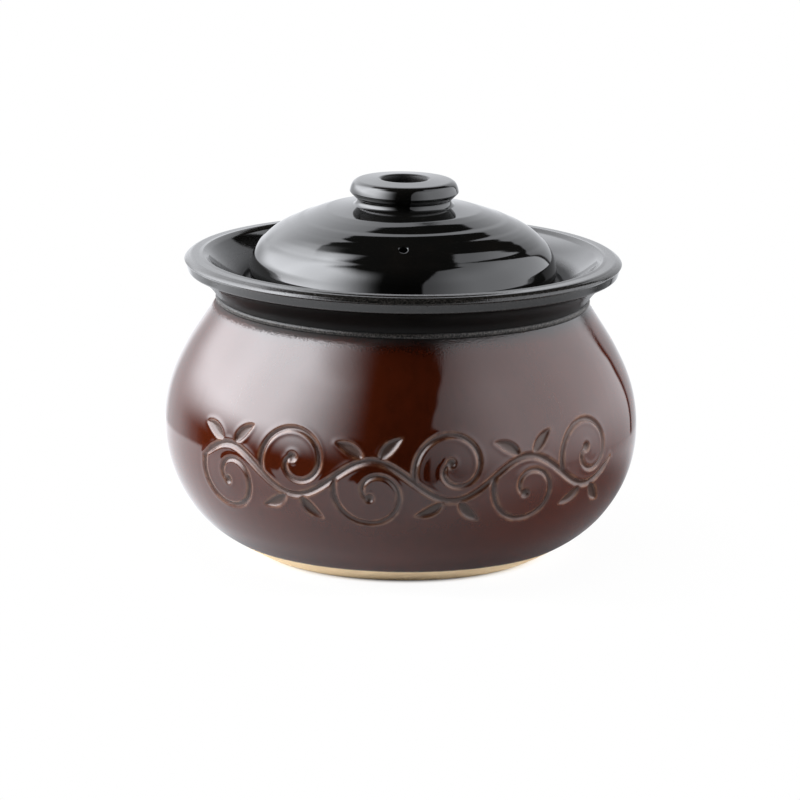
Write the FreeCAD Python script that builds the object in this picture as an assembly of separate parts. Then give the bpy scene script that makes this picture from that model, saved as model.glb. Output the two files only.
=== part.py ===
import FreeCAD, Part
import math
import os

# Lidded clay soup pot, millimetres, +Z up, origin at the centre of the foot.
# Every piece is a ring or a disc turned about Z, so outlines are points (radius, height).

# Belly and bottom
belly_radius = 85.0
belly_wall = 6.5
belly_tuck = 23.0
belly_low_rise = 39.1
belly_high_rise = 45.1
belly_upper_shares = (0.45, 0.47, 0.69)
foot_wall = 9.0
base_height = 5.9
base_inset = 10.7
base_edge_round = 0.8

# Neck, where the collar was luted to the belly with a coil of clay
shoulder_inset = 18.5
neck_wall = 11.5
coil_height = 2.1
coil_bulge = 0.5

# Flared collar with the ledge that carries the lid
ledge_reach = 6.5
ledge_thickness = 4.5
ledge_edge_round = 1.0
seat_width = 7.3
cove_radius = 1.4
collar_height = 14.8
lip_reach = 11.8
lip_height = 3.5
lip_lean = 0.9
lip_edge_round = 0.5
lip_crest_drop = 2.1
underside_hollow = 1.2
crest_setback = 5.4
crest_half_width = 2.6
crest_round_drop = 0.5
bevel_bow = 0.2
funnel_hollow = 0.8

# Lid: dome, vent and ring knob
lid_play = 2.4
lid_flare = 1.6
lid_skirt_height = 5.2
lid_wall = 5.5
dome_height = 28.5
dome_radius_shares = (0.987, 0.946, 0.865, 0.749, 0.591, 0.442)
dome_height_shares = (0.302, 0.470, 0.628, 0.765, 0.863, 0.933)
vent_radius = 1.6
vent_path_share = 0.411
knob_radius = 19.5
knob_neck_radius = 16.9
knob_hole_radius = 7.7
knob_height = 9.1
knob_neck_height = 1.8
knob_under_rise = 2.6
knob_side_lean = 0.3
knob_shoulder_inset = 2.9
knob_shoulder_drop = 0.9
knob_top_radius = 13.0
knob_hole_round = 0.9

# Radii, worked inwards from the belly
neck_radius = belly_radius - shoulder_inset
neck_bore = neck_radius - neck_wall
mouth_radius = neck_bore - ledge_reach
seat_radius = mouth_radius + seat_width
funnel_radius = seat_radius + cove_radius
lip_radius = neck_radius + lip_reach
crest_radius = lip_radius - crest_setback
base_top_radius = belly_radius - belly_tuck
base_foot_radius = base_top_radius - base_inset
lid_edge_radius = seat_radius - lid_play
lid_radius = lid_edge_radius + lid_flare

# Heights, worked upwards from the foot
belly_mid_z = base_height + belly_low_rise
shoulder_z = belly_mid_z + belly_high_rise
collar_z = shoulder_z + coil_height
seat_z = collar_z + ledge_thickness
crest_z = collar_z + collar_height
lip_top_z = crest_z - lip_crest_drop
lip_low_z = lip_top_z - lip_height
crown_z = seat_z + dome_height
knob_top_z = crown_z + knob_height


def at(point):
    """Vector in the XZ plane for a point (radius, height)."""
    return FreeCAD.Vector(point[0], 0, point[1])


def towards(start, end, length):
    """Point at that length from start on the way to end."""
    share = length / math.dist(start, end)
    return [a + share * (b - a) for a, b in zip(start, end)]


def line(start, end):
    return Part.LineSegment(at(start), at(end)).toShape()


def arc(start, through, end):
    return Part.Arc(at(start), at(through), at(end)).toShape()


def bowed(start, end, sag):
    """Arc from start to end whose middle stands sag to the left of the way there."""
    length = math.dist(start, end)
    side = ((start[1] - end[1]) / length, (end[0] - start[0]) / length)
    middle = [(a + b) / 2 + sag * s for a, b, s in zip(start, end, side)]
    return arc(start, middle, end)


def swell(side, end):
    """Arc that leaves the point side upright, or arrives there so, and curves in to end."""
    inwards = side[0] - end[0]
    along = end[1] - side[1]
    radius = (inwards ** 2 + along ** 2) / (2 * inwards)
    half = math.atan2(along, radius - inwards) / 2
    middle = (side[0] - radius + radius * math.cos(half), side[1] + radius * math.sin(half))
    return arc(side, middle, end)


def corner(start, tip, end):
    """Round corner that leaves start towards tip and arrives at end from it."""
    curve = Part.BezierCurve()
    curve.setPoles([at(start), at(tip), at(end)])
    return curve.toShape()


def turned(edges):
    """Solid of revolution of a closed outline about Z."""
    outline = Part.Wire(Part.__sortEdges__(edges))
    return Part.Face(outline).revolve(FreeCAD.Vector(), FreeCAD.Vector(0, 0, 1), 360)


def pot_base():
    """Bare clay slab: flat foot, chamfer up to the glaze line, flat top under the belly wall."""
    foot = (base_foot_radius, 0)
    rim = (base_top_radius, base_height)
    foot_start = (base_foot_radius - base_edge_round, 0)
    foot_end = towards(foot, rim, base_edge_round)
    return turned([
        line((0, 0), foot_start),
        corner(foot_start, foot, foot_end),
        line(foot_end, rim),
        line(rim, (0, base_height)),
        line((0, base_height), (0, 0)),
    ])


def pot_belly():
    """Round wall: upright at its widest, tucked in to the base and drawn in to the neck."""
    rise, inset, lean = belly_upper_shares
    foot_out = (base_top_radius, base_height)
    foot_in = (base_top_radius - foot_wall, base_height)
    side_out = (belly_radius, belly_mid_z)
    side_in = (belly_radius - belly_wall, belly_mid_z)
    top_out = (neck_radius, shoulder_z)
    top_in = (neck_bore, shoulder_z)
    shoulder = Part.BezierCurve()
    shoulder.setPoles([
        at(side_out),
        at((belly_radius, belly_mid_z + rise * belly_high_rise)),
        at((neck_radius + inset * shoulder_inset, belly_mid_z + lean * belly_high_rise)),
        at(top_out),
    ])
    return turned([
        line(foot_in, foot_out),
        swell(side_out, foot_out),
        shoulder.toShape(),
        line(top_out, top_in),
        swell(side_in, top_in),
        swell(side_in, foot_in),
    ])


def neck_coil():
    """Flat ring of clay between belly and collar, squeezed out to a small round bead."""
    low_out = (neck_radius, shoulder_z)
    high_out = (neck_radius, collar_z)
    low_in = (neck_bore, shoulder_z)
    high_in = (neck_bore, collar_z)
    return turned([
        line(low_in, low_out),
        bowed(high_out, low_out, coil_bulge),
        line(high_out, high_in),
        line(high_in, low_in),
    ])


def pot_collar():
    """Ledge for the lid, hollow funnel, rounded crest and bevel, lip and hollow underside."""
    root = (neck_radius, collar_z)
    lip_low = (lip_radius - lip_lean, lip_low_z)
    lip_top = (lip_radius, lip_top_z)
    crest = (crest_radius, crest_z)
    crest_out = (crest_radius + crest_half_width, crest_z - crest_round_drop)
    lip_edge_low = towards(lip_top, lip_low, lip_edge_round)
    lip_edge_high = towards(lip_top, crest_out, lip_edge_round)
    crest_in = (crest_radius - crest_half_width, crest_z - crest_round_drop)
    funnel_foot = (funnel_radius, seat_z + cove_radius)
    cove_tip = (seat_radius + cove_radius / 2, seat_z)
    seat_out = (seat_radius, seat_z)
    seat_in = (mouth_radius + ledge_edge_round, seat_z)
    mouth_top = (mouth_radius, seat_z - ledge_edge_round)
    mouth_low = (mouth_radius, collar_z + ledge_edge_round)
    under_in = (mouth_radius + ledge_edge_round, collar_z)
    return turned([
        line(under_in, root),
        bowed(root, lip_low, underside_hollow),
        line(lip_low, lip_edge_low),
        corner(lip_edge_low, lip_top, lip_edge_high),
        bowed(crest_out, lip_edge_high, bevel_bow),
        arc(crest_out, crest, crest_in),
        bowed(funnel_foot, crest_in, -funnel_hollow),
        corner(funnel_foot, cove_tip, seat_out),
        line(seat_out, seat_in),
        corner(seat_in, (mouth_radius, seat_z), mouth_top),
        line(mouth_top, mouth_low),
        corner(mouth_low, (mouth_radius, collar_z), under_in),
    ])


def dome_curve(start, widest, rise, crown):
    """Smooth line from start up over the dome to its crown."""
    shares = zip(dome_radius_shares, dome_height_shares)
    between = [(widest * r, seat_z + rise * h) for r, h in shares]
    curve = Part.BSplineCurve()
    curve.interpolate([at(point) for point in [start, *between, crown]])
    return curve


def lid_dome():
    """Hollow dome over a skirt that draws in to the ledge, flat where it carries the knob."""
    edge_out = (lid_edge_radius, seat_z)
    edge_in = (lid_edge_radius - lid_wall, seat_z)
    skirt_top = (lid_radius, seat_z + lid_skirt_height)
    crown_out = (knob_neck_radius, crown_z)
    crown_in = (knob_neck_radius - lid_wall, crown_z - lid_wall)
    outside = dome_curve(skirt_top, lid_radius, dome_height, crown_out)
    inside = dome_curve(edge_in, lid_radius - lid_wall, dome_height - lid_wall, crown_in)
    dome = turned([
        line(edge_in, edge_out),
        line(edge_out, skirt_top),
        outside.toShape(),
        line(crown_out, (0, crown_z)),
        line((0, crown_z), (0, crown_in[1])),
        line((0, crown_in[1]), crown_in),
        inside.toShape(),
    ])
    # The vent is bored square to the dome, at the front
    first, last = outside.FirstParameter, outside.LastParameter
    place = first + vent_path_share * (last - first)
    middle = outside.value(place)
    along = outside.tangent(place)[0]
    square = FreeCAD.Vector(along.z, 0, -along.x)
    bore = Part.makeCylinder(vent_radius, 4 * lid_wall, middle - square * 2 * lid_wall, square)
    bore.rotate(FreeCAD.Vector(), FreeCAD.Vector(0, 0, 1), -90)
    return dome.cut(bore)


def lid_knob():
    """Thick clay ring: upright neck, cone out to its widest, tight shoulder, domed top and a hole."""
    neck_low = (knob_neck_radius, crown_z)
    neck_top = (knob_neck_radius, crown_z + knob_neck_height)
    side_low = (knob_radius, neck_top[1] + knob_under_rise)
    shoulder = (knob_radius - knob_shoulder_inset, knob_top_z - knob_shoulder_drop)
    slope = knob_shoulder_drop / (shoulder[0] - knob_top_radius)
    side_tip = (knob_radius - knob_side_lean, shoulder[1] - slope * (knob_shoulder_inset - knob_side_lean))
    top_tip = (knob_top_radius, knob_top_z)
    top_in = (knob_hole_radius + knob_hole_round, knob_top_z)
    hole_top = (knob_hole_radius, knob_top_z - knob_hole_round)
    hole_low = (knob_hole_radius, crown_z)
    return turned([
        line(hole_low, neck_low),
        line(neck_low, neck_top),
        line(neck_top, side_low),
        corner(side_low, side_tip, shoulder),
        corner(shoulder, top_tip, top_in),
        corner(top_in, (knob_hole_radius, knob_top_z), hole_top),
        line(hole_top, hole_low),
    ])


os.makedirs("parts", exist_ok=True)
for piece in (pot_base, pot_belly, neck_coil, pot_collar, lid_dome, lid_knob):
    shape = piece()
    shape.exportStep("parts/" + piece.__name__ + ".step")
    print(piece.__name__, "solids", len(shape.Solids), "valid", shape.isValid(), "volume", round(shape.Volume))
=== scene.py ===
import math

import bpy
import numpy as np
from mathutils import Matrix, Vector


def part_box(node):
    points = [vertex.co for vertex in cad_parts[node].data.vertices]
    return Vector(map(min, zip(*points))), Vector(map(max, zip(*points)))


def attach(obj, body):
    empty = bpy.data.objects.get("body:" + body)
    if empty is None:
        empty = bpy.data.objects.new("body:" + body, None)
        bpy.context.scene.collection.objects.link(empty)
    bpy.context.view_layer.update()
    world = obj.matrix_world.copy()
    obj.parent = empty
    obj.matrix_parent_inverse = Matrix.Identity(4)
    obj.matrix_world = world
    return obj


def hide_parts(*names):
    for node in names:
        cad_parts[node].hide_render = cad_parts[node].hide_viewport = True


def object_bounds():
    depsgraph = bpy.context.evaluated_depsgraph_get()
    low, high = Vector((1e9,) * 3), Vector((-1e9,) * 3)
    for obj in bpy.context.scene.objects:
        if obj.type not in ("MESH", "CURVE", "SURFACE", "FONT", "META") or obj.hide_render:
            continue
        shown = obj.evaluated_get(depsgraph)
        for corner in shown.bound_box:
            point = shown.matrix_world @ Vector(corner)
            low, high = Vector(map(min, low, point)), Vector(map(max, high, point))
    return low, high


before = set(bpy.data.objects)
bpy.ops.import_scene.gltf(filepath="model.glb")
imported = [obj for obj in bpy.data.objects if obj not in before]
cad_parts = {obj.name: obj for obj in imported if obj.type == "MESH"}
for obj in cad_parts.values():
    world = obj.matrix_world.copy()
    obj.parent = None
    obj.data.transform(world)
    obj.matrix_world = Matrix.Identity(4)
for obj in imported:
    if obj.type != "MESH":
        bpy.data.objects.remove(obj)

cad_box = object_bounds()

# Foot. The slab of pale clay at the bottom of the pot, cut from the wheel with a twisted wire that
# left curved ridges underneath. Its side was wiped clean before firing and stays bare; the floor
# inside, which keeps the spiral of the potter's finger, is glazed like the rest of the inside.
mm = 0.001
_, foot_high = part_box("pot_base")
glaze_line_radius = foot_high.x
foot_top_z = foot_high.z
foot_inset = 10.7 * mm
foot_edge_round = 0.8 * mm
foot_side_bow = 0.15 * mm
floor_radius = 53.0 * mm
wire_ridge_pitch = 3.4 * mm
wire_ridge_depth = 0.22 * mm
wire_swing_centre = (-48 * mm, -80 * mm)
wire_marks_radius = 44.0 * mm
wire_marks_fade = 4.0 * mm
finger_spiral_pitch = 8.5 * mm
finger_spiral_depth = 0.5 * mm
finger_spiral_fade = 8.0 * mm
finger_spiral_eye = 5.0 * mm
clay_colour = (0.85, 0.68, 0.45, 1)
clay_dark_colour = (0.66, 0.48, 0.29, 1)
clay_grog_colour = (0.90, 0.79, 0.60, 1)
clay_iron_colour = (0.16, 0.075, 0.035, 1)


def run(start, end, count, bow=0.0):
    """Points from start towards end, the end left out. A parabola lifts the middle by bow to the left
    of the way: chord + 4 * bow * u * (1 - u) * left, with u from 0 to 1 along the chord."""
    u = np.linspace(0, 1, count, endpoint=False)[:, None]
    start = np.array(start)
    way = np.array(end) - start
    left = np.array([-way[1], way[0]]) / np.hypot(*way)
    return start + u * way + 4 * bow * u * (1 - u) * left


def corner(start, tip, end, count):
    """Round corner from start towards end, the end left out: the quadratic Bezier curve
    (1 - u)^2 * start + 2 * u * (1 - u) * tip + u^2 * end."""
    u = np.linspace(0, 1, count, endpoint=False)[:, None]
    return (1 - u) ** 2 * np.array(start) + 2 * u * (1 - u) * np.array(tip) + u ** 2 * np.array(end)


def round_axis(radius, height, angles):
    """Carries outline points round Z: (radius * sin, -radius * cos, height), angle 0 at the front.
    Radius and height hold one row per outline point, and may change from column to column."""
    radius, height, angles = np.broadcast_arrays(radius, height, angles)
    return np.stack([radius * np.sin(angles), -radius * np.cos(angles), height], -1)


def smooth(value, low, high):
    """Smooth step from 0 at low to 1 at high: 3 * t^2 - 2 * t^3 of the clipped share t of the way."""
    t = np.clip((value - low) / (high - low), 0, 1)
    return t * t * (3 - 2 * t)


def placed(name, data):
    """Object in the scene that shows a mesh, a light or a camera."""
    made = bpy.data.objects.new(name, data)
    bpy.context.scene.collection.objects.link(made)
    return made


def numbered(rows, columns, poles):
    """Numbers of a grid's points, row by row. With poles the first and last row are one point each."""
    index = np.arange(rows * columns).reshape(rows, columns)
    if poles:
        index[[0, -1]] = index[[0, -1], :1]
    return index


def quads_between(low, high):
    """Faces between rows of point numbers that close on themselves: a point of the low row and the
    next one, then the next one of the high row and the point itself."""
    return np.stack([low, np.roll(low, -1, -1), np.roll(high, -1, -1), high], -1)


def thrown(name, grid, poles=False, marks=None, sharp_angle=40, holes=(), walls=()):
    """Object with a skin over a grid of points, rows along an outline and columns round the axis.
    Columns close on themselves; rows close too, or with poles the first and last row each shrink to
    one point. Holes are blocks of cells left out, and walls are faces to add. Faces are turned
    outwards if the sum of the tetrahedra between them and the origin is negative. A mark is one value
    for the whole piece, for each row or for each point, and becomes a point attribute."""
    rows, columns = grid.shape[:2]
    index = numbered(rows, columns, poles)
    cells = quads_between(index, np.roll(index, -1, 0))
    solid = np.ones((rows, columns), bool)
    for hole in holes:
        solid[hole] = False
    caps = []
    if poles:
        solid[[0, -2, -1]] = False
        caps = [cells[0][:, [0, 2, 3]], cells[-2][:, [0, 1, 2]]]
    faces = [cells[solid], *walls, *caps]
    kept = np.unique(np.concatenate([face.reshape(-1) for face in faces]))
    faces = [np.searchsorted(kept, face) for face in faces]
    points = grid.reshape(-1, 3)[kept]
    corners = np.concatenate([
        face[:, [0, k, k + 1]] for face in faces for k in range(1, face.shape[1] - 1)])
    a, b, c = (points[corners[:, k]] for k in range(3))
    if np.einsum("ij,ij->", a, np.cross(b, c)) < 0:
        faces = [face[:, ::-1] for face in faces]
    mesh = bpy.data.meshes.new(name)
    mesh.from_pydata(points.tolist(), [], [row for face in faces for row in face.tolist()])
    mesh.shade_smooth()
    mesh.set_sharp_from_angle(angle=math.radians(sharp_angle))
    for mark, values in (marks or {}).items():
        values = np.broadcast_to(values, (rows, columns)).reshape(-1)[kept]
        layer = mesh.attributes.new(mark, "FLOAT", "POINT")
        layer.data.foreach_set("value", values.astype(np.float32))
    return placed(name, mesh)


class Value:
    """A number or colour on its way through a node tree. On numbers, Python's own operators add Math
    nodes, also with a plain number on the left, as in 1 - mask."""

    def __init__(self, finish, socket):
        self.finish = finish
        self.socket = socket

    def math(self, operation, first, second):
        """Adds a Math node on two values or plain numbers."""
        return self.finish.node("Math", {"operation": operation}, {0: first, 1: second})

    def __add__(self, other):
        return self.math("ADD", self, other)

    def __radd__(self, other):
        return self.math("ADD", other, self)

    def __sub__(self, other):
        return self.math("SUBTRACT", self, other)

    def __rsub__(self, other):
        return self.math("SUBTRACT", other, self)

    def __mul__(self, other):
        return self.math("MULTIPLY", self, other)

    def __rmul__(self, other):
        return self.math("MULTIPLY", other, self)


class Finish:
    """A node tree filled from Python. Lengths in it are millimetres of the piece's own place."""

    def __init__(self, tree):
        self.tree = tree
        tree.nodes.clear()

    def node(self, kind, settings=None, sockets=None, output=0):
        """Adds a shader node of that kind: its settings, then the value or the link of each socket."""
        made = self.tree.nodes.new("ShaderNode" + kind)
        for name, value in (settings or {}).items():
            setattr(made, name, value)
        for name, value in (sockets or {}).items():
            if isinstance(value, Value):
                self.tree.links.new(value.socket, made.inputs[name])
            else:
                made.inputs[name].default_value = value
        return Value(self, made.outputs[output]) if made.outputs else None

    def place(self):
        """The point on the piece, in millimetres."""
        return self.scaled(self.node("TexCoord", output="Object"), 1 / mm)

    def scaled(self, vector, factor):
        """A vector times a number."""
        return self.node("VectorMath", {"operation": "SCALE"}, {0: vector, "Scale": factor})

    def along(self, place, axis):
        """One coordinate of a place."""
        return self.node("SeparateXYZ", None, {0: place}, axis)

    def stretched(self, place, shares):
        """The place with each axis times its share, which draws a pattern out along an axis."""
        return self.node("VectorMath", {"operation": "MULTIPLY"}, {0: place, 1: shares})

    def noise(self, place, size, detail=2.0):
        """Soft noise from about 0 to 1, in lumps of that size."""
        sockets = {"Vector": place, "Scale": 1 / size, "Detail": detail}
        return self.node("TexNoise", None, sockets)

    def specks(self, place, size, radius):
        """Round specks, 1 in the middle and 0 from radius on, one to a cell of that size."""
        apart = self.node("TexVoronoi", None, {"Vector": place, "Scale": 1 / size})
        return self.step(apart, radius / size, 0.0)

    def step(self, value, low, high):
        """Smooth step from 0 at low to 1 at high, which may be the lower number."""
        return self.node(
            "MapRange", {"interpolation_type": "SMOOTHSTEP"},
            {"Value": value, "From Min": low, "From Max": high})

    def blend(self, factor, first, second):
        """Colour that goes from first to second with the factor. Sockets 6 and 7 of the Mix node and
        its output 2 are the ones for colours."""
        return self.node("Mix", {"data_type": "RGBA"}, {0: factor, 6: first, 7: second}, 2)

    def bump(self, height, depth, below=None):
        """Normal of a surface raised by height times depth, over another bump."""
        sockets = {"Height": height, "Distance": depth}
        if below:
            sockets["Normal"] = below
        return self.node("Bump", None, sockets)

    def mixed(self, factor, first, second):
        """Shader that goes from first to second with the factor."""
        return self.node("MixShader", None, {0: factor, 1: first, 2: second})

    def mark(self, name):
        """A point attribute of the piece."""
        return self.node("Attribute", {"attribute_name": name}, output="Fac")

    def surface(self, shader):
        """Ends a material's tree in that shader."""
        self.node("OutputMaterial", None, {"Surface": shader})

    def coated(self, colour, roughness, normal, dulled):
        """Ends the tree in a glossy coat, which the dulled mask turns to one that hardly mirrors."""
        gloss = {"Base Color": colour, "Roughness": roughness, "IOR": 1.5, "Normal": normal}
        dull = {"Base Color": colour, "Roughness": 0.55, "Specular IOR Level": 0.12, "Normal": normal}
        shaders = [self.node("BsdfPrincipled", None, sockets) for sockets in (gloss, dull)]
        self.surface(self.mixed(dulled, *shaders))


def blank(name):
    """New material, and the finish that fills its node tree."""
    material = bpy.data.materials.new(name)
    material.use_nodes = True
    return material, Finish(material.node_tree)


def bare_clay():
    """Fired sandy clay: pale buff in soft clouds, with pale and rusty grains of sand and fine pores."""
    material, clay = blank("bare_clay")
    place = clay.place()
    clouds = clay.step(clay.noise(place, 9.0, 4.0), 0.35, 0.75)
    colour = clay.blend(clouds * 0.45, clay_colour, clay_dark_colour)
    grog = clay.specks(place, 1.1, 0.34)
    colour = clay.blend(grog * 0.6, colour, clay_grog_colour)
    rare = clay.step(clay.noise(place, 2.6), 0.60, 0.66)
    iron = clay.specks(place, 0.8, 0.26) * rare
    colour = clay.blend(iron * 0.8, colour, clay_iron_colour)
    rings = clay.noise(clay.stretched(place, (0.02, 0.02, 1.0)), 0.5, 1.0)
    grit = clay.noise(place, 0.35, 4.0)
    normal = clay.bump(grit + grog * 0.8 + rings * 0.5, 0.05 * mm)
    sockets = {"Base Color": colour, "Roughness": 0.72 + 0.2 * grit, "Normal": normal}
    clay.surface(clay.node("BsdfPrincipled", None, sockets))
    return material


foot_edge = np.array((glaze_line_radius - foot_inset, 0.0))
foot_rim = np.array((glaze_line_radius, foot_top_z))
foot_side = (foot_rim - foot_edge) / np.hypot(*(foot_rim - foot_edge))
foot_edge_in = foot_edge - (foot_edge_round, 0)
foot_edge_up = foot_edge + foot_edge_round * foot_side
foot_outline = np.concatenate([
    run((0, 0), foot_edge_in, 62),
    corner(foot_edge_in, foot_edge, foot_edge_up, 6),
    run(foot_edge_up, foot_rim, 14, -foot_side_bow),
    run(foot_rim, (floor_radius, foot_top_z), 6),
    run((floor_radius, foot_top_z), (0, foot_top_z), 70),
    [(0, foot_top_z)],
])
foot_angles = np.linspace(0, 2 * math.pi, 256, endpoint=False)
foot_r, foot_z = foot_outline[:, :1], foot_outline[:, 1:]
foot_x, foot_y = foot_r * np.sin(foot_angles), -foot_r * np.cos(foot_angles)
wire_swing = np.hypot(foot_x - wire_swing_centre[0], foot_y - wire_swing_centre[1])
wire_ridges = 0.5 + 0.5 * np.cos(2 * math.pi * wire_swing / wire_ridge_pitch)
underneath = (foot_z == 0) * smooth(foot_r, wire_marks_radius, wire_marks_radius - wire_marks_fade)
wire_marks = wire_ridge_depth * wire_ridges * underneath
finger_spiral = 0.5 - 0.5 * np.cos(2 * math.pi * foot_r / finger_spiral_pitch - foot_angles)
inside = (foot_z == foot_top_z) * smooth(foot_r, floor_radius, floor_radius - finger_spiral_fade)
inside = inside * smooth(foot_r, 0, finger_spiral_eye)
finger_marks = finger_spiral_depth * finger_spiral * inside
foot_surface_z = foot_z + wire_marks - finger_marks
foot = thrown("foot", round_axis(foot_r, foot_surface_z, foot_angles), poles=True)
clay_material = bare_clay()
foot.data.materials.append(clay_material)
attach(foot, "pot")
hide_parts("pot_base")

# Belly. The round wall of the pot, thrown from the foot up to the neck and carved while the clay was
# leather-hard, with a running vine cut by a round gouge. Red-brown glaze covers it inside and out:
# it runs thin and tan over the cut edges and along the foot, and lies dark in the cuts.
_, belly_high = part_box("pot_belly")
belly_radius = belly_high.x
shoulder_z = belly_high.z
belly_widest_z = 45.0 * mm
belly_wall = 6.5 * mm
neck_radius = 66.5 * mm
neck_bore = 55.0 * mm
shoulder_rise, shoulder_inset, shoulder_lean = 20.3 * mm, 8.7 * mm, 31.1 * mm
vine_middle = -1.0 * mm
vine_half_height = 18.0 * mm
vine_start, vine_end = -80.0 * mm, 89.0 * mm
vine_margin = 5 * mm
vine_waves = 3
vine_swing = 7.0 * mm
vine_half_width = 1.15 * mm
curl_reach = 14.5 * mm
curl_eye_reach = 2.2 * mm
curl_eye_aside, curl_eye_back = 0.5 * mm, 4.6 * mm
curl_start, curl_turn = math.radians(161), math.radians(430)
leaf_length = 11.0 * mm
leaf_half_width = 2.0 * mm
leaf_leans = (0.55, -0.75)
leaf_roots = (2.5 * mm, -3.5 * mm)
leaf_root_lift = 0.6 * mm
cut_depth = 0.75 * mm
cut_burr = 0.12 * mm
cut_burr_width = 0.9 * mm
cut_slope = (0.45 * mm, -1.15 * mm)
broken_edge = (0.15 * mm, 0.42 * mm)
wall_unevenness = 0.05 * mm
uneven_fade = (34 * mm, 26 * mm)
throwing_ring_pitch = 9 * mm
throwing_ring_height = 0.3 * mm
throwing_low_z, throwing_high_z = 14 * mm, 80 * mm
fine_step = 0.5 * mm
wall_step = 1.25 * mm
brown_colour = (0.044, 0.0074, 0.0024, 1)
brown_thick_colour = (0.024, 0.0045, 0.0017, 1)
brown_thin_colour = (0.19, 0.095, 0.055, 1)
brown_pooled_colour = (0.026, 0.0130, 0.0075, 1)
overspray_colour = (0.0055, 0.0046, 0.0042, 1)
# Where the glaze changes, in the node tree's millimetres of height or to the side.
glaze_end_heights = (6.7, 6.1)
overspray_heights = (85.0, 90.5)
drop_heights = (76.0, 89.0)
spray_shade_heights = (87.3, 88.9)
spray_shade_sides = (18.0, -15.0)


def swell(side, end, count):
    """Arc from side, where it stands upright, round to end: a circle whose centre is level with side,
    of radius (a^2 + b^2) / (2 * a) for an end that lies a further in and b above or below."""
    inwards = side[0] - end[0]
    along = end[1] - side[1]
    radius = (inwards ** 2 + along ** 2) / (2 * inwards)
    turn = np.linspace(0, math.atan2(along, radius - inwards), count)
    return np.stack([side[0] - radius + radius * np.cos(turn), side[1] + radius * np.sin(turn)], -1)


def lengths_along(outline):
    """Distance along an outline up to each of its points: the sum of the chords before it."""
    return np.concatenate([[0], np.cumsum(np.hypot(*np.diff(outline, axis=0).T))])


def spaced(outline, places):
    """Points of an outline at these distances along it, found by linear interpolation over the length
    run so far."""
    along = lengths_along(outline)
    return np.stack([np.interp(places, along, outline[:, k]) for k in (0, 1)], -1)


def outwards(outline):
    """Unit normals of an outline, its tangent turned a quarter to the right."""
    tangent = np.gradient(outline, axis=0)
    tangent = tangent / np.hypot(tangent[:, :1], tangent[:, 1:])
    return np.stack([tangent[:, 1], -tangent[:, 0]], -1)


def vine_cuts():
    """The gouge's strokes as pairs of points (round the belly, up the belly) and half widths. The stem
    is a sine wave. In each half wave a tendril leaves it and winds in as a spiral whose radius falls
    evenly with its turn, and two leaves bend away from the crest outside."""
    u = np.linspace(0, 1, 420)
    stem_x = vine_start + (vine_end - vine_start) * u
    stem_y = vine_middle + vine_swing * np.sin(2 * math.pi * vine_waves * u)
    taper = smooth(u, 0, 0.03) * smooth(u, 1, 0.97)
    strokes = [(np.stack([stem_x, stem_y], -1), vine_half_width * (0.45 + 0.55 * taper))]
    half_wave = (vine_end - vine_start) / (2 * vine_waves)
    for crest in range(2 * vine_waves):
        side = (-1) ** crest
        crest_x = vine_start + (crest + 0.5) * half_wave
        u = np.linspace(0, 1, 160)
        turn = curl_start + curl_turn * u
        reach = curl_reach * (1 - u) + curl_eye_reach * u
        eye = np.array((crest_x + curl_eye_aside, vine_middle - side * curl_eye_back))
        tendril = eye + np.stack([reach * np.cos(turn), side * reach * np.sin(turn)], -1)
        strokes.append((tendril, vine_half_width * (0.95 - 0.35 * u)))
        strokes.append((tendril[-1:], np.array([1.5 * vine_half_width])))
        for lean, offset in zip(leaf_leans, leaf_roots):
            u = np.linspace(0, 1, 50)
            root = np.array((crest_x + offset, vine_middle + side * (vine_swing + leaf_root_lift)))
            heading = math.pi / 2 - lean - 0.9 * lean * u
            steps = np.stack([np.cos(heading), side * np.sin(heading)], -1) * leaf_length / len(u)
            half_width = leaf_half_width * np.sin(math.pi * u ** 0.8) ** 0.8
            strokes.append((root + np.cumsum(steps, 0), half_width))
    return strokes


def from_cuts(across, up, strokes):
    """How far each surface point lies outside the nearest stroke: the distance to the stroke's line
    less its half width there, negative inside the cut."""
    nearest = np.full(across.shape, np.inf)
    for line, half_width in strokes:
        apart = np.hypot(across[..., None] - line[:, 0], up[..., None] - line[:, 1]) - half_width
        nearest = np.minimum(nearest, apart.min(-1))
    return nearest


def bell(value, middle, width):
    """Bell curve, 1 at the middle: exp(-((value - middle) / width)^2)."""
    return np.exp(-((value - middle) / width) ** 2)


def from_front(angles):
    """Angles round the axis, brought to between -pi and pi with 0 at the front."""
    return (angles + math.pi) % (2 * math.pi) - math.pi


def face_centres(made):
    """Centre of each face of an object, one row to a face."""
    centres = np.zeros(len(made.data.polygons) * 3)
    made.data.polygons.foreach_get("center", centres)
    return centres.reshape(-1, 3)


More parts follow.
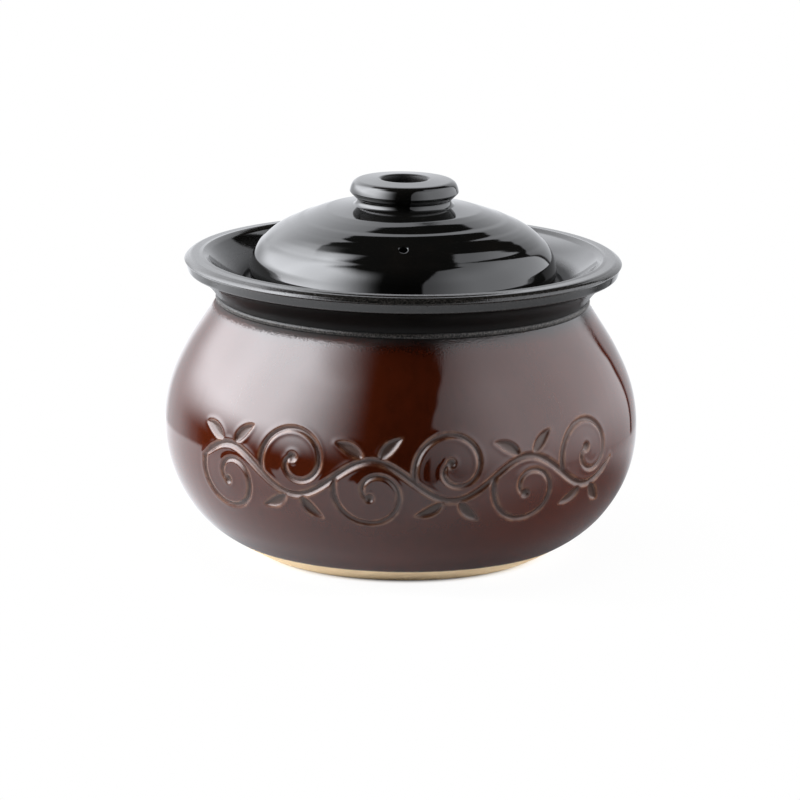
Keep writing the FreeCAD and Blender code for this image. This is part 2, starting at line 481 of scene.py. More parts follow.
def brown_glaze():
    """Glossy iron glaze: red-brown in soft clouds and faint runs, near black where it is thick, tan on
    cut edges and at the glaze line, with black overspray in fine drops under the collar. On the left,
    just under the bead, the spray is matt and hardly mirrors, which also paints a band of shade there."""
    material, glaze = blank("brown_glaze")
    place = glaze.place()
    height = glaze.along(place, "Z")
    aside = glaze.along(place, "X")
    clouds = glaze.noise(place, 26.0, 3.0)
    runs = glaze.noise(glaze.stretched(place, (1.0, 1.0, 0.12)), 3.2, 3.0)
    thick = glaze.step(clouds * 0.6 + runs * 0.4, 0.42, 0.70)
    colour = glaze.blend(thick * 0.6, brown_colour, brown_thick_colour)
    freckles = glaze.specks(place, 1.7, 0.30) * glaze.step(runs, 0.45, 0.62)
    colour = glaze.blend(freckles * 0.10, colour, brown_thin_colour)
    pooled = glaze.mark("cut")
    colour = glaze.blend(pooled * 0.8, colour, brown_pooled_colour)
    broken = glaze.mark("edge")
    patchy = glaze.step(glaze.noise(place, 4.5, 2.0), 0.40, 0.62)
    colour = glaze.blend(broken * (0.12 + 0.45 * patchy), colour, brown_thin_colour)
    end = glaze.step(height + 0.6 * runs, *glaze_end_heights)
    colour = glaze.blend(end * 0.8, colour, brown_thin_colour)
    drops = glaze.noise(place, 0.55, 2.0)
    spray = glaze.step(height + 7.0 * (drops - 0.5) + 3.0 * (clouds - 0.5), *overspray_heights)
    colour = glaze.blend(spray, colour, overspray_colour)
    normal = glaze.bump(glaze.noise(place, 13.0, 1.0), 0.06 * mm)
    normal = glaze.bump(glaze.noise(place, 2.4, 1.0), 0.006 * mm, normal)
    normal = glaze.bump(drops * glaze.step(height, *drop_heights), 0.045 * mm, normal)
    # Matt spray and painted shade: just under the bead, on the left only, a dull band that hardly
    # mirrors stands in for the shade under the bead.
    matt_spray_and_shade = glaze.step(height + 3.0 * (drops - 0.5), *spray_shade_heights) * glaze.step(aside, *spray_shade_sides)
    roughness = 0.035 + 0.03 * runs + 0.06 * spray + 0.12 * end
    roughness = roughness + 0.36 * pooled + 0.12 * broken + 0.2 * matt_spray_and_shade
    glaze.coated(colour, roughness, normal, 0.95 * matt_spray_and_shade)
    return material


belly_side = (belly_radius, belly_widest_z)
belly_side_in = (belly_radius - belly_wall, belly_widest_z)
lower_wall = swell(belly_side, foot_rim, 200)[::-1]
shoulder_poles = np.array((
    belly_side, (belly_radius, belly_widest_z + shoulder_rise),
    (neck_radius + shoulder_inset, belly_widest_z + shoulder_lean), (neck_radius, shoulder_z)))
upper_u = np.linspace(0, 1, 200)[:, None]
upper_wall = (
    (1 - upper_u) ** 3 * shoulder_poles[0]
    + 3 * upper_u * (1 - upper_u) ** 2 * shoulder_poles[1]
    + 3 * upper_u ** 2 * (1 - upper_u) * shoulder_poles[2]
    + upper_u ** 3 * shoulder_poles[3]
)
outer_wall = np.concatenate([lower_wall, upper_wall[1:]])
lower_length = np.hypot(*np.diff(lower_wall, axis=0).T).sum()
outer_length = np.hypot(*np.diff(outer_wall, axis=0).T).sum()
vine_low = lower_length + vine_middle - vine_half_height
vine_high = lower_length + vine_middle + vine_half_height
outer_places = np.concatenate([
    np.arange(0, vine_low, wall_step),
    np.arange(vine_low, vine_high, fine_step),
    np.arange(vine_high, outer_length, wall_step),
    [outer_length],
])
outer_outline = spaced(outer_wall, outer_places)
neck_rows = run((neck_radius, shoulder_z), (neck_bore, shoulder_z), 6)[1:]
inner_upper = swell(belly_side_in, (neck_bore, shoulder_z), 34)[::-1]
inner_lower = swell(belly_side_in, (floor_radius, foot_top_z), 34)[1:-1]
joint_rows = run((floor_radius, foot_top_z), foot_rim, 5)
belly_outline = np.concatenate([outer_outline, neck_rows, inner_upper, inner_lower, joint_rows])
vine_turns = np.array((vine_start - vine_margin, vine_end + vine_margin)) / belly_radius
vine_columns = int((vine_turns[1] - vine_turns[0]) * belly_radius / fine_step)
belly_angles = np.concatenate([
    np.linspace(vine_turns[0], vine_turns[1], vine_columns, endpoint=False),
    np.linspace(vine_turns[1], vine_turns[0] + 2 * math.pi, 84, endpoint=False),
])
outer_rows = len(outer_outline)
across = np.broadcast_to(
    from_front(belly_angles) * belly_radius, (outer_rows, len(belly_angles)))
up = np.broadcast_to((outer_places - lower_length)[:, None], across.shape)
outside = from_cuts(across, up, vine_cuts())
cut = smooth(outside, *cut_slope)
edge = bell(outside, *broken_edge)
burr = cut_burr * bell(outside, 0.5 * cut_burr_width, cut_burr_width)
uneven = 0.5 + 0.25 * np.sin(3 * belly_angles + up / (9 * mm))
uneven = uneven + 0.25 * np.sin(5 * belly_angles - up / (6 * mm))
wall_sink = (cut_burr + wall_unevenness * uneven) * smooth(np.abs(up), *uneven_fade)
other_rows = ((0, len(belly_outline) - outer_rows), (0, 0))
relief = np.pad(burr - cut_depth * cut - wall_sink, other_rows)
inner_start = outer_rows + len(neck_rows)
inner_rows = slice(inner_start, inner_start + len(inner_upper) + len(inner_lower))
inner_up = belly_outline[inner_rows, 1:]
ring_waves = np.cos(2 * math.pi * inner_up / throwing_ring_pitch + belly_angles)
on_inside = smooth(inner_up, foot_top_z, throwing_low_z)
on_inside = on_inside * smooth(inner_up, shoulder_z, throwing_high_z)
relief[inner_rows] = throwing_ring_height * ring_waves * on_inside
belly_normals = outwards(belly_outline)
belly_r = belly_outline[:, :1] + relief * belly_normals[:, :1]
belly_z = belly_outline[:, 1:] + relief * belly_normals[:, 1:]
belly_marks = {"cut": np.pad(cut, other_rows), "edge": np.pad(edge, other_rows)}
belly_points = round_axis(belly_r, belly_z, belly_angles)
belly = thrown("belly", belly_points, marks=belly_marks, sharp_angle=60)
brown_material = brown_glaze()
belly.data.materials.append(brown_material)
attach(belly, "pot")
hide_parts("pot_belly")

# The foot's floor takes the belly's glaze, over the faces that lie inside the wall.
floor_glaze_depth = 0.6 * mm
foot.data.materials.append(brown_material)
centre_x, centre_y, centre_z = face_centres(foot).T
foot_glazed = np.hypot(centre_x, centre_y) < floor_radius + mm
foot_glazed = foot_glazed & (centre_z > foot_top_z - floor_glaze_depth)
foot.data.polygons.foreach_set("material_index", foot_glazed.astype(np.int32))

# Neck coil. A roll of clay pressed into the joint between belly and collar and smoothed with a thumb
# to a small round bead, under the black glaze that runs down over it from the collar. The bead's
# colour is lightened to a dull grey, which is thin glaze and a painted sheen together.
coil_low, coil_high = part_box("neck_coil")
coil_bulge = coil_high.x - neck_radius
thumb_depth = 0.12 * mm
black_colour = (0.0034, 0.0034, 0.0032, 1)
black_warm_colour = (0.0046, 0.0041, 0.0036, 1)
black_break_and_sheen_colour = (0.055, 0.050, 0.046, 1)


def black_glaze():
    """Glossy black glaze with a faint warm cloud in it, a little brown where it thins over edges, and
    fine orange peel; on the neck bead that lighter colour is also a painted grey sheen. The dry mark
    adds the pinholes and grit of a thin coat, and the soft mark blends over to a dull coat that hardly
    mirrors."""
    material, glaze = blank("black_glaze")
    place = glaze.place()
    clouds = glaze.noise(place, 14.0, 3.0)
    colour = glaze.blend(glaze.step(clouds, 0.45, 0.75), black_colour, black_warm_colour)
    thin = glaze.mark("edge")
    grain = glaze.noise(place, 0.6, 3.0)
    # Lighter where the glaze thins over edges; on the neck bead this is also a painted grey sheen.
    colour = glaze.blend(thin * glaze.step(grain, 0.35, 0.70) * 0.7, colour, black_break_and_sheen_colour)
    normal = glaze.bump(glaze.noise(place, 10.0, 1.0), 0.035 * mm)
    normal = glaze.bump(glaze.noise(place, 1.9, 1.0), 0.005 * mm, normal)
    dry = glaze.mark("dry")
    holes = glaze.specks(place, 1.3, 0.42) * glaze.step(glaze.noise(place, 3.1), 0.48, 0.60)
    normal = glaze.bump((grain - 1.6 * holes) * dry, 0.05 * mm, normal)
    roughness = 0.03 + 0.03 * clouds + 0.16 * dry
    glaze.coated(colour, roughness, normal, glaze.mark("soft"))
    return material


coil_outline = np.concatenate([
    run((neck_bore, coil_low.z), (neck_radius, coil_low.z), 5),
    run((neck_radius, coil_low.z), (neck_radius, coil_high.z), 22, -coil_bulge),
    run((neck_radius, coil_high.z), (neck_bore, coil_high.z), 5),
    run((neck_bore, coil_high.z), (neck_bore, coil_low.z), 6),
])
coil_angles = np.linspace(0, 2 * math.pi, 320, endpoint=False)
thumbed = 0.5 + 0.3 * np.sin(7 * coil_angles) + 0.2 * np.sin(11 * coil_angles + 1)
on_bead = smooth(coil_outline[:, :1], neck_radius, neck_radius + coil_bulge)
coil_r = coil_outline[:, :1] - thumb_depth * thumbed * on_bead
coil_points = round_axis(coil_r, coil_outline[:, 1:], coil_angles)
# Painted sheen: the whole bead takes the lighter edge colour and the dull coat, a flat grey in place of
# its highlight, on top of the real thinning of the glaze.
coil_marks = {"edge": 1.5 * on_bead, "dry": 1.4, "soft": 0.62}
coil = thrown("neck_coil_bead", coil_points, marks=coil_marks)
black_material = black_glaze()
coil.data.materials.append(black_material)
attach(coil, "pot")
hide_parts("neck_coil")

# Collar. The flared rim, thrown as a ring of its own and luted on: a ledge for the lid, a hollow
# funnel above it, a crest with a low bead along its inner edge, and a lip with a groove under it.
# The black glaze is thin and gritty along the crest and dull under the lip. Low in the funnel, further
# out on the left, a dull coat that hardly mirrors paints the lid's shade.
collar_low, collar_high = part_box("pot_collar")
lip_radius = collar_high.x
collar_z = collar_low.z
crest_z = collar_high.z
mouth_radius = 48.5 * mm
ledge_thickness = 4.5 * mm
ledge_edge_round = 1.0 * mm
seat_radius = 55.8 * mm
cove_radius = 1.4 * mm
funnel_hollow = 0.8 * mm
crest_edge_radius = 71.3 * mm
crest_edge_round = 2.2 * mm
crest_width = 4.7 * mm
crest_fall = 0.35 * mm
crest_bead = np.array((1.5, -0.3)) * mm
crest_bead_round = 0.3 * mm
crest_bend_round = 0.7 * mm
crest_settling = 0.05 * mm
bevel_bow = 0.12 * mm
lip_lean = 1.3 * mm
lip_low_round = 0.3 * mm
lip_edge_round = 0.25 * mm
lip_groove = 0.55 * mm
lip_top_z = crest_z - 2.1 * mm
lip_low_z = lip_top_z - 3.5 * mm
underside_hollow = 1.2 * mm
lid_shade_left_radius, lid_shade_left_fade = 69 * mm, 11 * mm
lid_shade_right = (64 * mm, 59 * mm)
seat_z = collar_z + ledge_thickness
lip_low = np.array((lip_radius - lip_lean, lip_low_z))
lip_top = np.array((lip_radius, lip_top_z))
crest_out = np.array((crest_edge_radius + crest_width, crest_z - crest_fall))
crest_edge = np.array((crest_edge_radius, crest_z))
funnel_foot = np.array((seat_radius + cove_radius, seat_z + cove_radius))


def towards(start, end, length):
    """Point at that length from start on the straight way to end."""
    return start + (end - start) * length / np.hypot(*(end - start))


def corner_ends(before, tip, after, length):
    """The two points at that length from a tip, on the ways to the points before and after it."""
    return towards(tip, before, length), towards(tip, after, length)


collar_root = np.array((neck_radius, collar_z))
groove = lip_top - lip_groove
low_edges = corner_ends(collar_root, lip_low, groove, lip_low_round)
lip_edges = corner_ends(groove, lip_top, crest_out, lip_edge_round)
crest_step = crest_edge + crest_bead
crest_bends = corner_ends(lip_top, crest_out, crest_step, crest_bend_round)
bead_end = towards(crest_edge, crest_step, crest_bead_round)
funnel_top = towards(crest_edge, funnel_foot, crest_edge_round)
seat_out = (seat_radius, seat_z)
seat_in = (mouth_radius + ledge_edge_round, seat_z)
mouth_top = (mouth_radius, seat_z - ledge_edge_round)
mouth_low = (mouth_radius, collar_z + ledge_edge_round)
under_in = (mouth_radius + ledge_edge_round, collar_z)
collar_outline = np.concatenate([
    run(under_in, collar_root, 8),
    run(collar_root, low_edges[0], 30, underside_hollow),
    corner(low_edges[0], lip_low, low_edges[1], 5),
    run(low_edges[1], groove, 10),
    run(groove, lip_edges[0], 4),
    corner(lip_edges[0], lip_top, lip_edges[1], 8),
    run(lip_edges[1], crest_bends[0], 14, -bevel_bow),
    corner(crest_bends[0], crest_out, crest_bends[1], 8),
    run(crest_bends[1], crest_step, 8),
    run(crest_step, bead_end, 6),
    corner(bead_end, crest_edge, funnel_top, 8),
    run(funnel_top, funnel_foot, 40, funnel_hollow),
    corner(funnel_foot, (seat_radius + cove_radius / 2, seat_z), seat_out, 8),
    run(seat_out, seat_in, 10),
    corner(seat_in, (mouth_radius, seat_z), mouth_top, 6),
    run(mouth_top, mouth_low, 5),
    corner(mouth_low, (mouth_radius, collar_z), under_in, 6),
])
collar_angles = np.linspace(0, 2 * math.pi, 400, endpoint=False)
collar_r, collar_z_rows = collar_outline[:, :1], collar_outline[:, 1:]
on_crest = smooth(collar_z_rows, lip_low_z, lip_top_z)
on_crest = on_crest * smooth(collar_r, crest_edge_radius - 3 * mm, crest_edge_radius)
settled = 0.5 + 0.3 * np.sin(2 * collar_angles + 0.6) + 0.2 * np.sin(5 * collar_angles)
collar_surface_z = collar_z_rows - crest_settling * settled * on_crest
on_lip_low = bell(collar_z_rows, lip_low_z, 0.35 * mm) * (collar_r > lip_low[0] - 0.4 * mm)
in_funnel = smooth(collar_r, crest_edge_radius + 0.5 * mm, crest_edge_radius - mm)
in_funnel = in_funnel * (collar_z_rows > seat_z - mm)
# Painted shade: the dull coat, which hardly mirrors, lies low in the funnel where the lid's shade
# falls, and reaches further out on the left.
on_left = smooth(np.sin(collar_angles), 0.2, -0.5)
left_lid_shade = np.clip((lid_shade_left_radius - collar_r) / lid_shade_left_fade, 0, 1)
painted_lid_shade = on_left * left_lid_shade + (1 - on_left) * smooth(collar_r, *lid_shade_right)
under_lip = smooth(collar_z_rows, lip_low_z + 0.2 * mm, lip_low_z - 0.5 * mm)
under_lip = under_lip * (collar_r > neck_radius - mm)
collar_marks = {
    "edge": np.clip(0.5 * on_crest + 0.8 * on_lip_low, 0, 1),
    "dry": 0.1 + 0.3 * on_crest,
    "soft": in_funnel * painted_lid_shade + 0.65 * under_lip,
}
collar_points = round_axis(collar_r, collar_surface_z, collar_angles)
collar = thrown("collar", collar_points, marks=collar_marks, sharp_angle=50)
collar.data.materials.append(black_material)
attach(collar, "pot")
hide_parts("pot_collar")

# Lid. A hollow dome thrown upside down, with the rings of the potter's fingers left on its upper half
# and a steam vent bored through at the front. It is glazed black, but the edge that stands on the
# ledge was wiped bare so that it would not stick in the kiln.
_, dome_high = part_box("lid_dome")
crown_z = dome_high.z
dome_height = crown_z - seat_z
dome_radius = 55.0 * mm
dome_foot_radius = 54.3 * mm
skirt_height = 5.8 * mm
skirt_edge_round = 0.6 * mm
dome_wall = 5.5 * mm
knob_neck_radius = 16.9 * mm
dome_radius_shares = (0.9945, 0.9895, 0.985, 0.9796, 0.967, 0.946, 0.865, 0.749, 0.591, 0.442)
dome_height_shares = (0.2386, 0.2737, 0.3088, 0.3474, 0.4035, 0.470, 0.628, 0.765, 0.863, 0.933)
dome_step = 0.4 * mm
dome_points, dome_upper_points, skirt_points = 600, 500, 30
vent_radius = 1.6 * mm
vent_reach_out = 43.8 * mm
vent_cells = 4
vent_patch = 4 * vent_cells
vent_lip_depth = 0.25 * mm
vent_lip_width = 0.7 * mm
ring_radii = np.array((
    17, 18, 27.4, 28.1, 30.9, 31.5, 35.4, 36, 37.3, 37.9, 40.2, 41.5, 48.2, 49.7, 50.2, 51, 51.7)) * mm
ring_tilts = (
    0, 0.09, 0.09, -0.075, -0.075, -0.125, -0.125, 0, 0, -0.1, -0.1, 0, -0.06, -0.06, 0.085, 0.085, 0)
ring_wander_start = (20 * mm, 30 * mm)
rings_levelled = (38 * mm, 52 * mm)
ripple_pitch = 2.3 * mm
ripple_tilt = 0.022
ripple_start, ripple_end = (38 * mm, 41 * mm), (50 * mm, 47 * mm)


def through(points, count):
    """Smooth line through points: each coordinate is a natural cubic spline over the length of the
    chords, its second derivatives found from the usual tridiagonal system."""
    points = np.array(points)
    gaps = np.hypot(*np.diff(points, axis=0).T)
    knots = np.concatenate([[0], np.cumsum(gaps)])
    system = np.eye(len(points))
    inner = np.arange(1, len(points) - 1)
    system[inner, inner - 1] = gaps[:-1]
    system[inner, inner] = 2 * (gaps[:-1] + gaps[1:])
    system[inner, inner + 1] = gaps[1:]
    slopes = np.diff(points, axis=0) / gaps[:, None]
    bends = np.zeros(points.shape)
    bends[inner] = 6 * np.diff(slopes, axis=0)
    bends = np.linalg.solve(system, bends)
    at = np.linspace(0, knots[-1], count)
    span = np.clip(np.searchsorted(knots, at) - 1, 0, len(gaps) - 1)
    gap = gaps[span][:, None]
    a = (knots[span + 1] - at)[:, None] / gap
    b = 1 - a
    bent = ((a ** 3 - a) * bends[span] + (b ** 3 - b) * bends[span + 1]) * gap ** 2 / 6
    return a * points[span] + b * points[span + 1] + bent


dome_shares = zip(dome_radius_shares, dome_height_shares)
dome_between = [(dome_radius * r, seat_z + dome_height * h) for r, h in dome_shares]
skirt_top = np.array((dome_radius, seat_z + skirt_height))
skirt_low = np.array((dome_foot_radius, seat_z))
dome_line = through([skirt_top, *dome_between, (knob_neck_radius, crown_z)], dome_points)[::-1]
skirt_edges = corner_ends(dome_line[-skirt_points], skirt_top, skirt_low, skirt_edge_round)
above_edge = np.hypot(*(dome_line - skirt_top).T) > skirt_edge_round
dome_line = np.concatenate([
    dome_line[above_edge],
    corner(skirt_edges[0], skirt_top, skirt_edges[1], 8),
    run(skirt_edges[1], skirt_low, 10),
    [skirt_low],
])
dome_run = lengths_along(dome_line)
dome_length = dome_run[-1]
upper = slice(dome_upper_points)
vent_at = np.interp(vent_reach_out, dome_line[upper, 0], dome_run[upper])
steps_above = int(vent_at / dome_step)
steps_below = int((dome_length - vent_at) / dome_step)
dome_places = np.concatenate([
    [0], vent_at + dome_step * np.arange(-steps_above, steps_below + 1), [dome_length]])
dome_outline = spaced(dome_line, dome_places)
dome_normals = -outwards(dome_outline)
dome_inside = dome_outline - dome_wall * dome_normals
dome_inside[:, 1] = np.maximum(dome_inside[:, 1], seat_z)
crown_inside = dome_inside[0]
on_dome = dome_outline[:, 1] > skirt_top[1]
dome_radii = dome_outline[on_dome, 0]
ripples = ripple_tilt * np.sin(2 * math.pi * dome_radii / ripple_pitch)
ripples = ripples * smooth(dome_radii, *ripple_start) * smooth(dome_radii, *ripple_end)
ring_tilt = np.interp(dome_radii, ring_radii, ring_tilts) + ripples
ring_rise = np.cumsum(ring_tilt * np.gradient(dome_places[on_dome]))
ring_rise = ring_rise - ring_rise[-1] * smooth(dome_radii, *rings_levelled)
crown_rows = run((0, crown_z), (knob_neck_radius, crown_z), 12)
sole_rows = run((dome_foot_radius, seat_z), (dome_foot_radius - dome_wall, seat_z), 7)[1:]
ceiling_rows = run(crown_inside, (0, crown_inside[1]), 14)[1:]
dome_rows = len(dome_outline)
outer_dome = slice(len(crown_rows), len(crown_rows) + dome_rows)
inner_dome_start = outer_dome.stop + len(sole_rows)
lid_outline = np.concatenate([
    crown_rows, dome_outline, sole_rows, dome_inside[::-1],
    ceiling_rows, [(0, crown_inside[1])],
])
vent_reach = vent_patch * dome_step
vent_r = np.interp(vent_at, dome_places, dome_outline[:, 0])
front_angles = dome_step * np.arange(-vent_patch, vent_patch + 1) / vent_r
lid_angles = np.concatenate([
    front_angles, np.linspace(front_angles[-1], 2 * math.pi + front_angles[0], 236)[1:-1]])
lid_r = np.repeat(lid_outline[:, :1], len(lid_angles), 1)
lid_z = np.repeat(lid_outline[:, 1:], len(lid_angles), 1)
lid_turn = np.repeat(lid_angles[None], len(lid_outline), 0)
lid_across = vent_r * from_front(lid_angles)


def open_vent(rows, places, outline, sign):
    """Draws the square of cells at the vent in to a circle: a point at (u, v) from the vent's middle
    moves to (u, v) * max(|u|, |v|) / hypot(u, v) there, and less with distance. The glaze sinks in a
    round lip at the edge."""
    u, v = np.broadcast_arrays(lid_across[None], (places - vent_at)[:, None])
    square = np.maximum(np.abs(u), np.abs(v))
    circle = np.maximum(np.hypot(u, v), 1e-9)
    pull = 1 + (square / circle - 1) * smooth(square, vent_reach, vent_cells * dome_step)
    new_places = vent_at + v * pull
    points = np.stack([np.interp(new_places, places, outline[:, k]) for k in (0, 1)], -1)
    normals = np.stack([np.interp(new_places, places, dome_normals[:, k]) for k in (0, 1)], -1)
    lip_share = smooth(circle * pull, vent_radius + vent_lip_width, vent_radius) ** 2
    lip = sign * vent_lip_depth * lip_share
    lid_r[rows] = points[..., 0] - lip * normals[..., 0]
    lid_z[rows] = points[..., 1] - lip * normals[..., 1]
    lid_turn[rows] = lid_angles + (u * pull - u) / vent_r


open_vent(outer_dome, dome_places, dome_outline, 1)
inner_dome = slice(inner_dome_start, inner_dome_start + dome_rows)
inner_rows_down = np.arange(inner_dome.stop - 1, inner_dome.start - 1, -1)
open_vent(inner_rows_down, dome_places, dome_inside, -1)
ring_wander = 0.45 * mm * np.sin(lid_angles + 0.9) + 0.25 * mm * np.sin(3 * lid_angles)
ring_strength = 1 + 0.22 * np.sin(2 * lid_angles + 0.4)
ring_places = dome_radii[:, None] + ring_wander * smooth(dome_radii[:, None], *ring_wander_start)
ring_lift = np.zeros((dome_rows, len(lid_angles)))
ring_lift[on_dome] = ring_strength * np.interp(ring_places, dome_radii, ring_rise)
lid_r[outer_dome] += ring_lift * dome_normals[:, :1]
lid_z[outer_dome] += ring_lift * dome_normals[:, 1:]
lid_points = round_axis(lid_r, lid_z, lid_turn)
index = numbered(*lid_points.shape[:2], poles=True)
vent_row = outer_dome.start + int(np.argmin(np.abs(dome_places - vent_at)))
vent_row_inside = inner_dome.stop - 1 - (vent_row - outer_dome.start)
left, right = vent_patch - vent_cells, vent_patch + vent_cells
vent_holes = [
    np.s_[row - vent_cells:row + vent_cells, left:right] for row in (vent_row, vent_row_inside)]
span = np.arange(2 * vent_cells)
loop_rows = [0 * span, span, 0 * span + 2 * vent_cells, 2 * vent_cells - span]
loop_rows = np.concatenate(loop_rows) - vent_cells
loop_columns = np.concatenate([left + span, 0 * span + right, right - span, 0 * span + left])
outer_loop = index[vent_row + loop_rows, loop_columns]
inner_loop = index[vent_row_inside - loop_rows, loop_columns]
vent_wall = quads_between(outer_loop, inner_loop)
lid_marks = {"edge": 0.0, "dry": 0.04, "soft": 0.0}
lid = thrown(
    "lid", lid_points, poles=True, marks=lid_marks, sharp_angle=35, holes=vent_holes, walls=[vent_wall])
lid.data.materials.append(black_material)
lid.data.materials.append(clay_material)
lid_sole = face_centres(lid)[:, 2] < seat_z + 0.05 * mm
lid.data.polygons.foreach_set("material_index", lid_sole.astype(np.int32))
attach(lid, "lid")
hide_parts("lid_dome")

# Ring knob. A thick ring of clay turned on top of the lid, with a waist under it for the fingers and
# a hole down its middle, dipped in the same black glaze, which thins along its upper edge.
_, knob_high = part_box("lid_knob")
knob_radius = knob_high.x
knob_top_z = knob_high.z
knob_hole_radius = 7.7 * mm
knob_hole_round = 1.8 * mm
knob_neck_height = 1.8 * mm
knob_under_rise = 2.6 * mm
knob_edge_round = 0.35 * mm
knob_side_insets = np.array((0.35, 0.75, 1.35, 2.15)) * mm
knob_side_drops = np.array((3.2, 2.15, 1.3, 0.75)) * mm
knob_rim = np.array((knob_radius - 2.5 * mm, knob_top_z - 0.54 * mm))
knob_rim_in = np.array((knob_radius - 3.2 * mm, knob_top_z - 0.45 * mm))
fillet_end = (19.1 * mm, crown_z - 0.68 * mm)
knob_neck_top = np.array((knob_neck_radius, crown_z + knob_neck_height))
knob_side_low = knob_neck_top + (knob_radius - knob_neck_radius, knob_under_rise)
knob_sides = np.stack([knob_radius - knob_side_insets, knob_top_z - knob_side_drops], -1)
knob_edges = corner_ends(knob_neck_top, knob_side_low, knob_sides[0], knob_edge_round)
knob_top_in = knob_hole_radius + knob_hole_round
knob_top = (knob_top_in, knob_top_z)
knob_hole_top = (knob_hole_radius, knob_top_z - knob_hole_round)
knob_hole_low = (knob_hole_radius, crown_z)
knob_neck_low = (knob_neck_radius, crown_z)
knob_outline = np.concatenate([
    run(knob_hole_low, knob_neck_low, 6),
    run(knob_neck_low, fillet_end, 4),
    corner(fillet_end, knob_neck_low, knob_neck_top, 16),
    run(knob_neck_top, knob_edges[0], 10),
    corner(knob_edges[0], knob_side_low, knob_edges[1], 6),
    through([knob_edges[1], *knob_sides], 36)[:-1],
    corner(knob_sides[-1], knob_rim, knob_rim_in, 8),
    run(knob_rim_in, knob_top, 24),
    corner(knob_top, (knob_hole_radius, knob_top_z), knob_hole_top, 12),
    run(knob_hole_top, knob_hole_low, 10),
])
knob_angles = np.linspace(0, 2 * math.pi, 256, endpoint=False)
knob_r, knob_z = knob_outline[:, :1], knob_outline[:, 1:]
knob_worn = bell(knob_r, knob_rim[0], 0.6 * mm) * (knob_z > knob_side_low[1])
knob_in_hole = smooth(knob_r, knob_top_in, knob_hole_radius)
knob_marks = {"edge": 0.3 * knob_worn, "dry": 0.05 + 0.6 * knob_in_hole, "soft": knob_in_hole}
knob_points = round_axis(knob_r, knob_z, knob_angles)
knob = thrown("ring_knob", knob_points, marks=knob_marks, sharp_angle=35)
knob.data.materials.append(black_material)
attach(knob, "lid")
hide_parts("lid_knob")

# Table and studio. A pale table top under soft lamps, in a white room for the eye. The glaze mirrors
# a large soft box on the left, a weaker one on the right, a white cloth behind, and a dark front.
floor_half = 4.0
floor_colour = (0.90, 0.90, 0.90, 1)
floor_far_colour = (0.62, 0.62, 0.62, 1)
floor_far_edge = (0.07, 0.16)
veil = 0.95
veil_edge = (0.0500, 0.0560)
veil_full_edge = (0.08, 0.14)
foot_shade_edge = (0.056, 0.075)
pot_shadow_edge = (0.05, 0.15)
pot_shadow_shares, pot_shadow_shift = (0.85, 1, 1), (-0.055, 0, 0)
table_edge = (0.205, 0.235)
table_shares = (0.78, 1, 1)
mirror_tint = (0.98, 1.0, 1.045, 1)
room_light = 0.1


def rays(finish):
    """Two masks: 1 on what the eye sees, also through clear matter, and 1 on what gloss mirrors."""
    camera_ray, clear_ray, glossy_ray = (
        finish.node("LightPath", output=name)
        for name in ("Is Camera Ray", "Is Transmission Ray", "Is Glossy Ray"))
    return camera_ray + clear_ray, glossy_ray


def away(spot):
    """Distance of a spot on the table top from the pot's axis: the length of its vector."""
    return table.node("VectorMath", {"operation": "LENGTH"}, {0: spot}, "Value")


floor_mesh = bpy.data.meshes.new("table_top")
floor_corners = [
    (x * floor_half, y * floor_half, 0) for x, y in ((-1, -1), (1, -1), (1, 1), (-1, 1))]
floor_mesh.from_pydata(floor_corners, [], [(0, 1, 2, 3)])
floor = placed("table_top", floor_mesh)
floor_material, table = blank("table_top")
seen, glossy = rays(table)
spot = table.node("TexCoord", output="Object")
aside = table.along(spot, "X")
apart = away(spot)

# For the eye: a pale cloth under the foot, which a white veil takes over outside it.
cloth_colour = table.blend(table.step(apart, *floor_far_edge), floor_colour, floor_far_colour)
cloth = table.node("BsdfDiffuse", None, {"Color": cloth_colour})
white = table.node("Emission", None, {"Strength": 1.0})
veiled = veil + (1 - veil) * table.step(apart, *veil_full_edge)
near = table.mixed(seen * table.step(apart, *veil_edge) * veiled, cloth, white)

# For the glaze: a shining sheet, brighter on the left and dim in the pot's shadow, that soon ends.
shadow_spot = table.node(
    "VectorMath", {"operation": "MULTIPLY_ADD"},
    {0: spot, 1: pot_shadow_shares, 2: pot_shadow_shift})
lit = 0.25 + 0.75 * table.step(away(shadow_spot), *pot_shadow_edge)
bright = (1.22 - 1.2 * aside - 2.6 * aside.math("MINIMUM", aside, 0.0)) * lit
bright = bright * (0.4 + 0.6 * table.step(apart, *foot_shade_edge))
shine = table.scaled(mirror_tint[:3], bright)
sheet = table.node("Emission", None, {"Color": shine, "Strength": 1.0})
gone = table.node("BsdfTransparent")
ended = table.step(away(table.stretched(spot, table_shares)), *table_edge)
table.surface(table.mixed(glossy, near, table.mixed(ended, sheet, gone)))
floor_mesh.materials.append(floor_material)

# The room, by the way that a ray leaves in: degrees round the pot from the front, and above level.
# Each edge goes from where it starts to where it is full.
left_light = 12.2
left_front_edge, left_back_edge = (-16, -74), (-152, -94)
left_low_edge, left_top_edge = (-6, 16), (67, 45)
right_front_edge, right_back_edge = (0.235, 0.265), (147, 144.5)
right_low_edge, right_top_edge = (-30, 8), (63, 60)
right_side_light, right_side = 1.85, (14, 62)
right_back_dim, right_back = 0.3, (100, 142)
right_high_dim, right_high = 0.4, (35, 65)
cloth_right_edge, cloth_left_edge = (147.5, 151), (-108, -138)
cloth_top_edge = (51, 49)
world = bpy.data.worlds.new("studio")
world.use_nodes = True
bpy.context.scene.world = world
studio = Finish(world.node_tree)
step = studio.step
way = studio.node("TexCoord", output="Generated")
way_x, way_y, way_z = (studio.along(way, axis) for axis in "XYZ")
degrees = 180 / math.pi
azimuth = way_x.math("ARCTAN2", way_x, 0 - way_y) * degrees
elevation = studio.node("Math", {"operation": "ARCSINE"}, {0: way_z}) * degrees
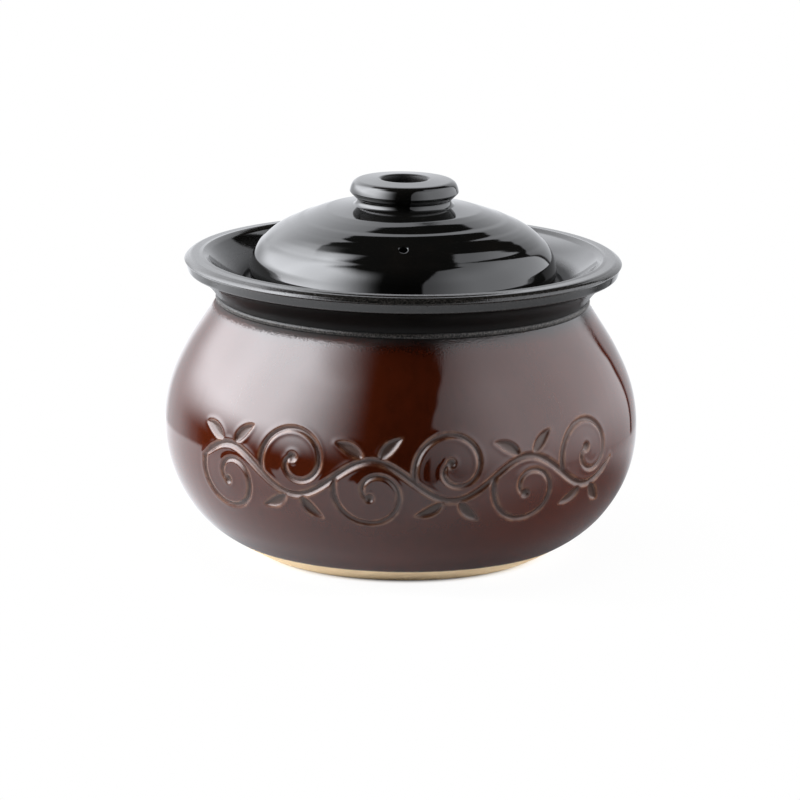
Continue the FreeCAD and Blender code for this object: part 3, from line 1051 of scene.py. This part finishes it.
left_top = elevation - 9 * step(azimuth, -80, -105) + 12 * step(azimuth, -112, -132)
left_top = left_top + 4 * step(azimuth, -75, -45)
left_box = (
    step(azimuth, *left_front_edge) * step(azimuth, *left_back_edge)
    * step(elevation, *left_low_edge) * step(left_top, *left_top_edge) * left_light)
leaning = azimuth + 0.35 * elevation
right_top = elevation - 6 * step(azimuth, 84, 96)
right_edge = way_x - 0.08 * step(way_z, 0.45, 0.95)
right_box = (
    step(right_edge, *right_front_edge) * step(leaning, *right_back_edge)
    * step(elevation, *right_low_edge) * step(right_top, *right_top_edge)
    * (1 + right_side_light * step(azimuth, *right_side))
    * (1 - right_back_dim * step(azimuth, *right_back))
    * (1 - right_high_dim * step(elevation, *right_high)))
cloth_top = elevation + 42 * way_x.math("MAXIMUM", way_x, 0.0)
low_gap = step(azimuth, -168, -155) * step(azimuth, 0, -90) * step(elevation, 19, 4)
back_cloth = (
    (step(leaning, *cloth_right_edge) + step(azimuth, *cloth_left_edge) * (1 - 0.4 * low_gap))
    * step(cloth_top, *cloth_top_edge) * (0.75 + 0.25 * step(elevation, -10, 30))
    * (1.4 - 0.9 * way_x + 0.8 * step(way_x, 0, -0.6)))
seen, glossy = rays(studio)
mirrored = left_box + right_box + back_cloth
strength = seen + (1 - seen) * (glossy * mirrored + (1 - glossy) * room_light)
tint = studio.blend(glossy, (1, 1, 1, 1), mirror_tint)
background = studio.node("Background", None, {"Color": tint, "Strength": strength})
studio.node("OutputWorld", None, {"Surface": background})


def lamp(name, place, size, power):
    """Square soft lamp at a place, turned to the pot's middle. Its shape is left out of the mirror."""
    light = bpy.data.lights.new(name, "AREA")
    light.size = size
    light.energy = power
    made = placed(name, light)
    made.location = place
    made.rotation_euler = (pot_middle - made.location).to_track_quat("-Z", "Y").to_euler()
    made.visible_glossy = False


pot_middle = (cad_box[0] + cad_box[1]) / 2
lamp("left_lamp", place=(-1.5, 0.0, 0.55), size=0.6, power=58)
lamp("right_lamp", place=(1.5, 0.1, 0.55), size=0.6, power=40)
lamp("top_lamp", place=(0.0, -0.1, 1.6), size=1.2, power=10)

# Camera. It stands where the photograph was taken from: far off with a long lens, a little above the
# pot, and held very slightly askew.
camera_distance = 1.600
camera_height = 0.4244
camera_pitch = math.radians(13.06)
camera_roll = math.radians(0.89)
camera_aside = -0.35 * mm
camera = bpy.data.cameras.new("camera")
camera.sensor_width = 36.0
camera.lens = 205.4
camera_object = placed("camera", camera)
camera_object.location = (camera_aside, -camera_distance, camera_height)
camera_object.rotation_mode = "XYZ"
upright = Matrix.Rotation(math.pi / 2 - camera_pitch, 3, "X")
camera_object.rotation_euler = (upright @ Matrix.Rotation(camera_roll, 3, "Z")).to_euler()
bpy.context.scene.camera = camera_object
bpy.context.scene.view_settings.view_transform = "Standard"
